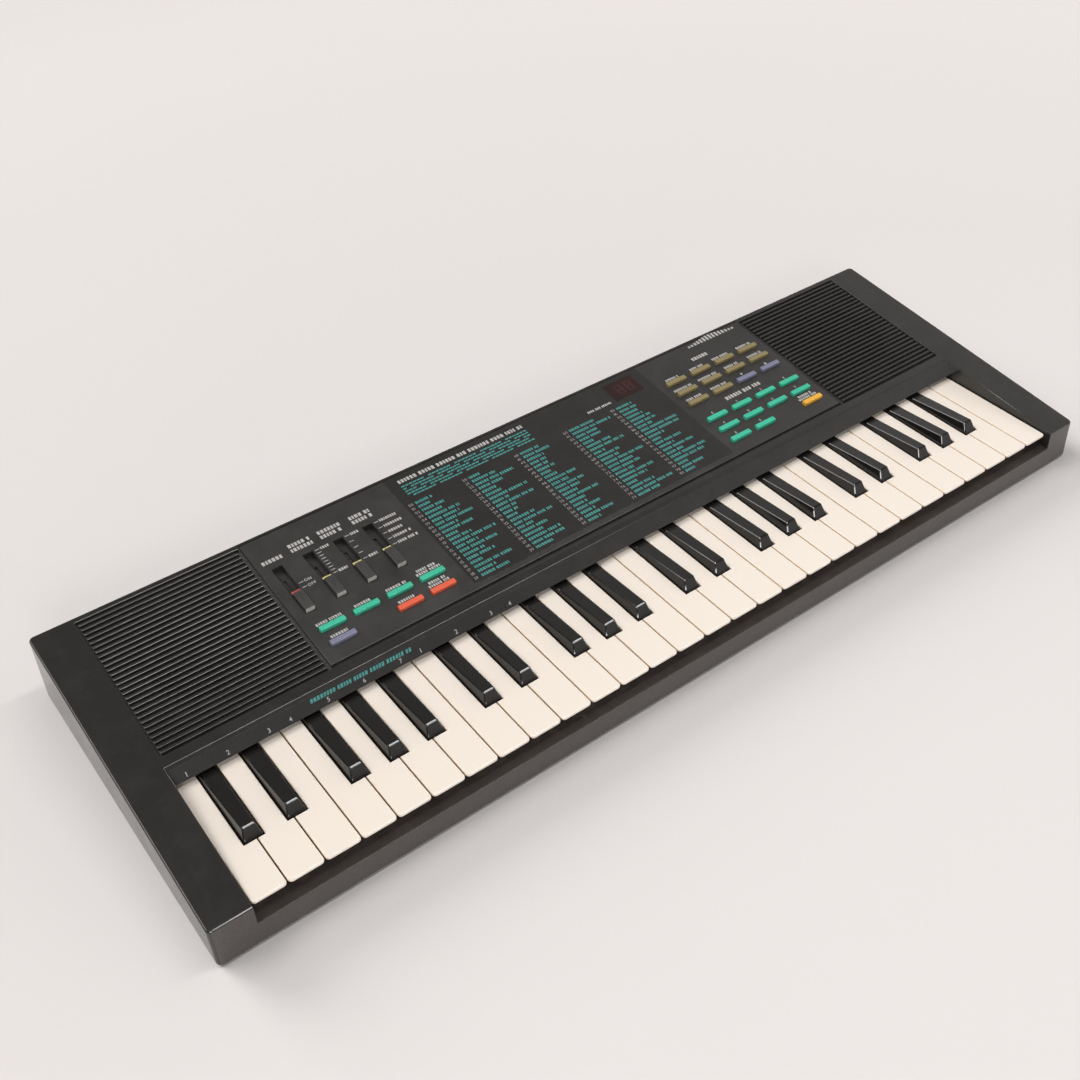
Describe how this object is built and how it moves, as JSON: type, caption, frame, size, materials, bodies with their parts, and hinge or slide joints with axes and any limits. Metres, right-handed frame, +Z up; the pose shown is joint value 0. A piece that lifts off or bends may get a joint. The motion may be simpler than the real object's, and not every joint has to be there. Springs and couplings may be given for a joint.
{
  "type": "portable keyboard",
  "caption": "Slim wedge-shaped electronic keyboard with mini piano keys, a flat printed control panel with slide knobs and push buttons, and ribbed speaker grilles at both ends.",
  "frame": {"origin": "on the floor under the middle of the case's outline, at the underside of the feet", "axes": "+X towards the high keys, to the player's right; +Y away from the player; +Z up"},
  "size_m": [0.625, 0.2084, 0.0486],
  "materials": {
    "case": "fine satin grain",
    "base": "matte grain",
    "panel": "satin, printed",
    "key_white": "satin gloss",
    "key_black": "gloss",
    "knob": "matte",
    "button": "satin",
    "circuit": "lacquered board",
    "speaker": "paper and steel"
  },
  "bodies": {
    "case": {"upper_case": "case", "bottom_case": "base", "control_panel": "panel", "circuit_board": "circuit", "speaker_left": "speaker", "speaker_right": "speaker"},
    "power_slider": {"power_slider": "knob"},
    "master_volume_slider": {"master_volume_slider": "knob"},
    "accompaniment_volume_slider": {"accompaniment_volume_slider": "knob"},
    "mode_slider": {"mode_slider": "knob"},
    "button_set": {"button_set": "button"},
    "white_key_01": {"white_key_01": "key_white"},
    "white_key_02": {"white_key_02": "key_white"},
    "white_key_03": {"white_key_03": "key_white"},
    "white_key_04": {"white_key_04": "key_white"},
    "white_key_05": {"white_key_05": "key_white"},
    "white_key_06": {"white_key_06": "key_white"},
    "white_key_07": {"white_key_07": "key_white"},
    "white_key_08": {"white_key_08": "key_white"},
    "white_key_09": {"white_key_09": "key_white"},
    "white_key_10": {"white_key_10": "key_white"},
    "white_key_11": {"white_key_11": "key_white"},
    "white_key_12": {"white_key_12": "key_white"},
    "white_key_13": {"white_key_13": "key_white"},
    "white_key_14": {"white_key_14": "key_white"},
    "white_key_15": {"white_key_15": "key_white"},
    "white_key_16": {"white_key_16": "key_white"},
    "white_key_17": {"white_key_17": "key_white"},
    "white_key_18": {"white_key_18": "key_white"},
    "white_key_19": {"white_key_19": "key_white"},
    "white_key_20": {"white_key_20": "key_white"},
    "white_key_21": {"white_key_21": "key_white"},
    "white_key_22": {"white_key_22": "key_white"},
    "white_key_23": {"white_key_23": "key_white"},
    "white_key_24": {"white_key_24": "key_white"},
    "white_key_25": {"white_key_25": "key_white"},
    "white_key_26": {"white_key_26": "key_white"},
    "white_key_27": {"white_key_27": "key_white"},
    "white_key_28": {"white_key_28": "key_white"},
    "white_key_29": {"white_key_29": "key_white"},
    "black_key_01": {"black_key_01": "key_black"},
    "black_key_02": {"black_key_02": "key_black"},
    "black_key_03": {"black_key_03": "key_black"},
    "black_key_04": {"black_key_04": "key_black"},
    "black_key_05": {"black_key_05": "key_black"},
    "black_key_06": {"black_key_06": "key_black"},
    "black_key_07": {"black_key_07": "key_black"},
    "black_key_08": {"black_key_08": "key_black"},
    "black_key_09": {"black_key_09": "key_black"},
    "black_key_10": {"black_key_10": "key_black"},
    "black_key_11": {"black_key_11": "key_black"},
    "black_key_12": {"black_key_12": "key_black"},
    "black_key_13": {"black_key_13": "key_black"},
    "black_key_14": {"black_key_14": "key_black"},
    "black_key_15": {"black_key_15": "key_black"},
    "black_key_16": {"black_key_16": "key_black"},
    "black_key_17": {"black_key_17": "key_black"},
    "black_key_18": {"black_key_18": "key_black"},
    "black_key_19": {"black_key_19": "key_black"},
    "black_key_20": {"black_key_20": "key_black"}
  },
  "joints": [
    {"name": "power_slide", "type": "slide", "parent": "case", "child": "power_slider", "axis": [0, 0.9941, 0.1085], "range_m": [0, 0.004]},
    {"name": "master_volume_slide", "type": "slide", "parent": "case", "child": "master_volume_slider", "axis": [0, 0.9941, 0.1085], "range_m": [0, 0.0203]},
    {"name": "accompaniment_volume_slide", "type": "slide", "parent": "case", "child": "accompaniment_volume_slider", "axis": [0, 0.9941, 0.1085], "range_m": [0, 0.0203]},
    {"name": "mode_slide", "type": "slide", "parent": "case", "child": "mode_slider", "axis": [0, 0.9941, 0.1085], "range_m": [0, 0.0203]},
    {"name": "buttons_press", "type": "slide", "parent": "case", "child": "button_set", "axis": [0, 0.1085, -0.9941], "range_m": [0, 0.001], "stiffness_N_per_m": 600, "springref_m": -0.002},
    {"name": "white_key_01_press", "type": "hinge", "parent": "case", "child": "white_key_01", "pos_m": [-0.28, 0.00775, 0.0203], "axis": [1, 0, 0], "range_deg": [0, 2.42], "stiffness_Nm_per_rad": 0.6, "springref_deg": -2.86},
    {"name": "white_key_02_press", "type": "hinge", "parent": "case", "child": "white_key_02", "pos_m": [-0.26, 0.00775, 0.0203], "axis": [1, 0, 0], "range_deg": [0, 2.42], "stiffness_Nm_per_rad": 0.6, "springref_deg": -2.86},
    {"name": "white_key_03_press", "type": "hinge", "parent": "case", "child": "white_key_03", "pos_m": [-0.24, 0.00775, 0.0203], "axis": [1, 0, 0], "range_deg": [0, 2.42], "stiffness_Nm_per_rad": 0.6, "springref_deg": -2.86},
    {"name": "white_key_04_press", "type": "hinge", "parent": "case", "child": "white_key_04", "pos_m": [-0.22, 0.00775, 0.0203], "axis": [1, 0, 0], "range_deg": [0, 2.42], "stiffness_Nm_per_rad": 0.6, "springref_deg": -2.86},
    {"name": "white_key_05_press", "type": "hinge", "parent": "case", "child": "white_key_05", "pos_m": [-0.2, 0.00775, 0.0203], "axis": [1, 0, 0], "range_deg": [0, 2.42], "stiffness_Nm_per_rad": 0.6, "springref_deg": -2.86},
    {"name": "white_key_06_press", "type": "hinge", "parent": "case", "child": "white_key_06", "pos_m": [-0.18, 0.00775, 0.0203], "axis": [1, 0, 0], "range_deg": [0, 2.42], "stiffness_Nm_per_rad": 0.6, "springref_deg": -2.86},
    {"name": "white_key_07_press", "type": "hinge", "parent": "case", "child": "white_key_07", "pos_m": [-0.16, 0.00775, 0.0203], "axis": [1, 0, 0], "range_deg": [0, 2.42], "stiffness_Nm_per_rad": 0.6, "springref_deg": -2.86},
    {"name": "white_key_08_press", "type": "hinge", "parent": "case", "child": "white_key_08", "pos_m": [-0.14, 0.00775, 0.0203], "axis": [1, 0, 0], "range_deg": [0, 2.42], "stiffness_Nm_per_rad": 0.6, "springref_deg": -2.86},
    {"name": "white_key_09_press", "type": "hinge", "parent": "case", "child": "white_key_09", "pos_m": [-0.12, 0.00775, 0.0203], "axis": [1, 0, 0], "range_deg": [0, 2.42], "stiffness_Nm_per_rad": 0.6, "springref_deg": -2.86},
    {"name": "white_key_10_press", "type": "hinge", "parent": "case", "child": "white_key_10", "pos_m": [-0.1, 0.00775, 0.0203], "axis": [1, 0, 0], "range_deg": [0, 2.42], "stiffness_Nm_per_rad": 0.6, "springref_deg": -2.86},
    {"name": "white_key_11_press", "type": "hinge", "parent": "case", "child": "white_key_11", "pos_m": [-0.08, 0.00775, 0.0203], "axis": [1, 0, 0], "range_deg": [0, 2.42], "stiffness_Nm_per_rad": 0.6, "springref_deg": -2.86},
    {"name": "white_key_12_press", "type": "hinge", "parent": "case", "child": "white_key_12", "pos_m": [-0.06, 0.00775, 0.0203], "axis": [1, 0, 0], "range_deg": [0, 2.42], "stiffness_Nm_per_rad": 0.6, "springref_deg": -2.86},
    {"name": "white_key_13_press", "type": "hinge", "parent": "case", "child": "white_key_13", "pos_m": [-0.04, 0.00775, 0.0203], "axis": [1, 0, 0], "range_deg": [0, 2.42], "stiffness_Nm_per_rad": 0.6, "springref_deg": -2.86},
    {"name": "white_key_14_press", "type": "hinge", "parent": "case", "child": "white_key_14", "pos_m": [-0.02, 0.00775, 0.0203], "axis": [1, 0, 0], "range_deg": [0, 2.42], "stiffness_Nm_per_rad": 0.6, "springref_deg": -2.86},
    {"name": "white_key_15_press", "type": "hinge", "parent": "case", "child": "white_key_15", "pos_m": [0, 0.00775, 0.0203], "axis": [1, 0, 0], "range_deg": [0, 2.42], "stiffness_Nm_per_rad": 0.6, "springref_deg": -2.86},
    {"name": "white_key_16_press", "type": "hinge", "parent": "case", "child": "white_key_16", "pos_m": [0.02, 0.00775, 0.0203], "axis": [1, 0, 0], "range_deg": [0, 2.42], "stiffness_Nm_per_rad": 0.6, "springref_deg": -2.86},
    {"name": "white_key_17_press", "type": "hinge", "parent": "case", "child": "white_key_17", "pos_m": [0.04, 0.00775, 0.0203], "axis": [1, 0, 0], "range_deg": [0, 2.42], "stiffness_Nm_per_rad": 0.6, "springref_deg": -2.86},
    {"name": "white_key_18_press", "type": "hinge", "parent": "case", "child": "white_key_18", "pos_m": [0.06, 0.00775, 0.0203], "axis": [1, 0, 0], "range_deg": [0, 2.42], "stiffness_Nm_per_rad": 0.6, "springref_deg": -2.86},
    {"name": "white_key_19_press", "type": "hinge", "parent": "case", "child": "white_key_19", "pos_m": [0.08, 0.00775, 0.0203], "axis": [1, 0, 0], "range_deg": [0, 2.42], "stiffness_Nm_per_rad": 0.6, "springref_deg": -2.86},
    {"name": "white_key_20_press", "type": "hinge", "parent": "case", "child": "white_key_20", "pos_m": [0.1, 0.00775, 0.0203], "axis": [1, 0, 0], "range_deg": [0, 2.42], "stiffness_Nm_per_rad": 0.6, "springref_deg": -2.86},
    {"name": "white_key_21_press", "type": "hinge", "parent": "case", "child": "white_key_21", "pos_m": [0.12, 0.00775, 0.0203], "axis": [1, 0, 0], "range_deg": [0, 2.42], "stiffness_Nm_per_rad": 0.6, "springref_deg": -2.86},
    {"name": "white_key_22_press", "type": "hinge", "parent": "case", "child": "white_key_22", "pos_m": [0.14, 0.00775, 0.0203], "axis": [1, 0, 0], "range_deg": [0, 2.42], "stiffness_Nm_per_rad": 0.6, "springref_deg": -2.86},
    {"name": "white_key_23_press", "type": "hinge", "parent": "case", "child": "white_key_23", "pos_m": [0.16, 0.00775, 0.0203], "axis": [1, 0, 0], "range_deg": [0, 2.42], "stiffness_Nm_per_rad": 0.6, "springref_deg": -2.86},
    {"name": "white_key_24_press", "type": "hinge", "parent": "case", "child": "white_key_24", "pos_m": [0.18, 0.00775, 0.0203], "axis": [1, 0, 0], "range_deg": [0, 2.42], "stiffness_Nm_per_rad": 0.6, "springref_deg": -2.86},
    {"name": "white_key_25_press", "type": "hinge", "parent": "case", "child": "white_key_25", "pos_m": [0.2, 0.00775, 0.0203], "axis": [1, 0, 0], "range_deg": [0, 2.42], "stiffness_Nm_per_rad": 0.6, "springref_deg": -2.86},
    {"name": "white_key_26_press", "type": "hinge", "parent": "case", "child": "white_key_26", "pos_m": [0.22, 0.00775, 0.0203], "axis": [1, 0, 0], "range_deg": [0, 2.42], "stiffness_Nm_per_rad": 0.6, "springref_deg": -2.86},
    {"name": "white_key_27_press", "type": "hinge", "parent": "case", "child": "white_key_27", "pos_m": [0.24, 0.00775, 0.0203], "axis": [1, 0, 0], "range_deg": [0, 2.42], "stiffness_Nm_per_rad": 0.6, "springref_deg": -2.86},
    {"name": "white_key_28_press", "type": "hinge", "parent": "case", "child": "white_key_28", "pos_m": [0.26, 0.00775, 0.0203], "axis": [1, 0, 0], "range_deg": [0, 2.42], "stiffness_Nm_per_rad": 0.6, "springref_deg": -2.86},
    {"name": "white_key_29_press", "type": "hinge", "parent": "case", "child": "white_key_29", "pos_m": [0.28, 0.00775, 0.0203], "axis": [1, 0, 0], "range_deg": [0, 2.42], "stiffness_Nm_per_rad": 0.6, "springref_deg": -2.86},
    {"name": "black_key_01_press", "type": "hinge", "parent": "case", "child": "black_key_01", "pos_m": [-0.27135, 0.00775, 0.0203], "axis": [1, 0, 0], "range_deg": [0, 2.42], "stiffness_Nm_per_rad": 0.6, "springref_deg": -2.86},
    {"name": "black_key_02_press", "type": "hinge", "parent": "case", "child": "black_key_02", "pos_m": [-0.24785, 0.00775, 0.0203], "axis": [1, 0, 0], "range_deg": [0, 2.42], "stiffness_Nm_per_rad": 0.6, "springref_deg": -2.86},
    {"name": "black_key_03_press", "type": "hinge", "parent": "case", "child": "black_key_03", "pos_m": [-0.2122, 0.00775, 0.0203], "axis": [1, 0, 0], "range_deg": [0, 2.42], "stiffness_Nm_per_rad": 0.6, "springref_deg": -2.86},
    {"name": "black_key_04_press", "type": "hinge", "parent": "case", "child": "black_key_04", "pos_m": [-0.1897, 0.00775, 0.0203], "axis": [1, 0, 0], "range_deg": [0, 2.42], "stiffness_Nm_per_rad": 0.6, "springref_deg": -2.86},
    {"name": "black_key_05_press", "type": "hinge", "parent": "case", "child": "black_key_05", "pos_m": [-0.16715, 0.00775, 0.0203], "axis": [1, 0, 0], "range_deg": [0, 2.42], "stiffness_Nm_per_rad": 0.6, "springref_deg": -2.86},
    {"name": "black_key_06_press", "type": "hinge", "parent": "case", "child": "black_key_06", "pos_m": [-0.13135, 0.00775, 0.0203], "axis": [1, 0, 0], "range_deg": [0, 2.42], "stiffness_Nm_per_rad": 0.6, "springref_deg": -2.86},
    {"name": "black_key_07_press", "type": "hinge", "parent": "case", "child": "black_key_07", "pos_m": [-0.10785, 0.00775, 0.0203], "axis": [1, 0, 0], "range_deg": [0, 2.42], "stiffness_Nm_per_rad": 0.6, "springref_deg": -2.86},
    {"name": "black_key_08_press", "type": "hinge", "parent": "case", "child": "black_key_08", "pos_m": [-0.0722, 0.00775, 0.0203], "axis": [1, 0, 0], "range_deg": [0, 2.42], "stiffness_Nm_per_rad": 0.6, "springref_deg": -2.86},
    {"name": "black_key_09_press", "type": "hinge", "parent": "case", "child": "black_key_09", "pos_m": [-0.0497, 0.00775, 0.0203], "axis": [1, 0, 0], "range_deg": [0, 2.42], "stiffness_Nm_per_rad": 0.6, "springref_deg": -2.86},
    {"name": "black_key_10_press", "type": "hinge", "parent": "case", "child": "black_key_10", "pos_m": [-0.02715, 0.00775, 0.0203], "axis": [1, 0, 0], "range_deg": [0, 2.42], "stiffness_Nm_per_rad": 0.6, "springref_deg": -2.86},
    {"name": "black_key_11_press", "type": "hinge", "parent": "case", "child": "black_key_11", "pos_m": [0.00865, 0.00775, 0.0203], "axis": [1, 0, 0], "range_deg": [0, 2.42], "stiffness_Nm_per_rad": 0.6, "springref_deg": -2.86},
    {"name": "black_key_12_press", "type": "hinge", "parent": "case", "child": "black_key_12", "pos_m": [0.03215, 0.00775, 0.0203], "axis": [1, 0, 0], "range_deg": [0, 2.42], "stiffness_Nm_per_rad": 0.6, "springref_deg": -2.86},
    {"name": "black_key_13_press", "type": "hinge", "parent": "case", "child": "black_key_13", "pos_m": [0.0678, 0.00775, 0.0203], "axis": [1, 0, 0], "range_deg": [0, 2.42], "stiffness_Nm_per_rad": 0.6, "springref_deg": -2.86},
    {"name": "black_key_14_press", "type": "hinge", "parent": "case", "child": "black_key_14", "pos_m": [0.0903, 0.00775, 0.0203], "axis": [1, 0, 0], "range_deg": [0, 2.42], "stiffness_Nm_per_rad": 0.6, "springref_deg": -2.86},
    {"name": "black_key_15_press", "type": "hinge", "parent": "case", "child": "black_key_15", "pos_m": [0.11285, 0.00775, 0.0203], "axis": [1, 0, 0], "range_deg": [0, 2.42], "stiffness_Nm_per_rad": 0.6, "springref_deg": -2.86},
    {"name": "black_key_16_press", "type": "hinge", "parent": "case", "child": "black_key_16", "pos_m": [0.14865, 0.00775, 0.0203], "axis": [1, 0, 0], "range_deg": [0, 2.42], "stiffness_Nm_per_rad": 0.6, "springref_deg": -2.86},
    {"name": "black_key_17_press", "type": "hinge", "parent": "case", "child": "black_key_17", "pos_m": [0.17215, 0.00775, 0.0203], "axis": [1, 0, 0], "range_deg": [0, 2.42], "stiffness_Nm_per_rad": 0.6, "springref_deg": -2.86},
    {"name": "black_key_18_press", "type": "hinge", "parent": "case", "child": "black_key_18", "pos_m": [0.2078, 0.00775, 0.0203], "axis": [1, 0, 0], "range_deg": [0, 2.42], "stiffness_Nm_per_rad": 0.6, "springref_deg": -2.86},
    {"name": "black_key_19_press", "type": "hinge", "parent": "case", "child": "black_key_19", "pos_m": [0.2303, 0.00775, 0.0203], "axis": [1, 0, 0], "range_deg": [0, 2.42], "stiffness_Nm_per_rad": 0.6, "springref_deg": -2.86},
    {"name": "black_key_20_press", "type": "hinge", "parent": "case", "child": "black_key_20", "pos_m": [0.25285, 0.00775, 0.0203], "axis": [1, 0, 0], "range_deg": [0, 2.42], "stiffness_Nm_per_rad": 0.6, "springref_deg": -2.86}
  ]
}
